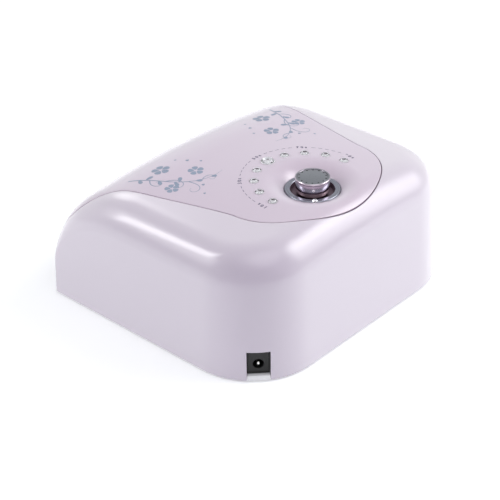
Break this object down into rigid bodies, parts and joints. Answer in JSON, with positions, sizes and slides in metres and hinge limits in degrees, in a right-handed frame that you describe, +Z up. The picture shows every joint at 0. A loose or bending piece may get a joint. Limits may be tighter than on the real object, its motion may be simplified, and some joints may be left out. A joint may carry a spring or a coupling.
{
  "type": "led nail lamp",
  "caption": "Tabletop nail-curing lamp: rounded pearl housing with a front hand tunnel, a flush panel, a dished time dial with a turning and pressing knob, and a power inlet.",
  "frame": {"origin": "on the table, below the middle of the housing", "axes": "+Z up, the hand tunnel opens towards -Y, +Y is the rear, +X is the right side seen from in front of the tunnel"},
  "size_m": [0.19, 0.166, 0.0855],
  "materials": {
    "pearl_shell": "pearlescent lilac, glossy moulded",
    "pearl_panel": "pearlescent lilac, glossy moulded, printed",
    "plated_metal": "polished plating",
    "brushed_disc": "brushed in circles",
    "crystal": "clear cut acrylic on a foil back",
    "white_plastic": "fine satin",
    "reflector_white": "bright metallised white",
    "black_plastic": "satin",
    "rubber": "matt",
    "steel": "plain zinc",
    "green_board": "solder mask",
    "white_board": "white solder mask",
    "lamp_lens": "clear with a violet tint",
    "copper": "enamelled winding",
    "red_sleeve": "insulation",
    "white_sleeve": "insulation"
  },
  "bodies": {
    "root": {"main_housing": "pearl_shell", "top_panel": "pearl_panel", "switch_nut": "steel", "switch_body": "black_plastic", "base_plate": "white_plastic", "reflector": "reflector_white", "roof_board": "white_board", "side_board_right": "white_board", "side_board_left": "white_board", "control_board": "green_board", "capacitor": "black_plastic", "controller_chip": "black_plastic", "choke_coil": "copper", "lamp_connector": "white_plastic", "dc_jack": "black_plastic", "dc_jack_pin": "steel", "power_lead": "red_sleeve", "lamp_lead_roof": "white_sleeve", "switch_lead": "white_sleeve", "lamp_lead_right": "white_sleeve", "lamp_lead_left": "white_sleeve", "stone_1": "crystal", "stone_2": "crystal", "stone_3": "crystal", "stone_4": "crystal", "stone_5": "crystal", "stone_6": "crystal", "stone_7": "crystal", "stone_8": "crystal", "stone_9": "crystal", "lamp_1": "lamp_lens", "lamp_2": "lamp_lens", "lamp_3": "lamp_lens", "lamp_4": "lamp_lens", "lamp_5": "lamp_lens", "lamp_6": "lamp_lens", "lamp_7": "lamp_lens", "lamp_8": "lamp_lens", "lamp_9": "lamp_lens", "lamp_10": "lamp_lens", "lamp_11": "lamp_lens", "lamp_12": "lamp_lens", "foot_1": "rubber", "foot_2": "rubber", "foot_3": "rubber", "foot_4": "rubber", "base_screw_1": "steel", "base_screw_2": "steel", "base_screw_3": "steel", "base_screw_4": "steel", "board_screw_1": "steel", "board_screw_2": "steel"},
    "dial": {"selector_ring": "plated_metal", "pointer_stone": "crystal", "switch_shaft": "steel"},
    "knob": {"knob": "plated_metal", "knob_face": "brushed_disc", "push_stem": "steel"}
  },
  "joints": [
    {"name": "knob_turn", "type": "hinge", "parent": "root", "child": "dial", "pos_m": [0, 0.04, 0.0756], "axis": [0, 0, -1], "range_deg": [0, 225]},
    {"name": "knob_press", "type": "slide", "parent": "dial", "child": "knob", "axis": [0, 0, -1], "range_m": [0, 0.0008], "stiffness_N_per_m": 1500, "springref_m": -0.0008}
  ]
}
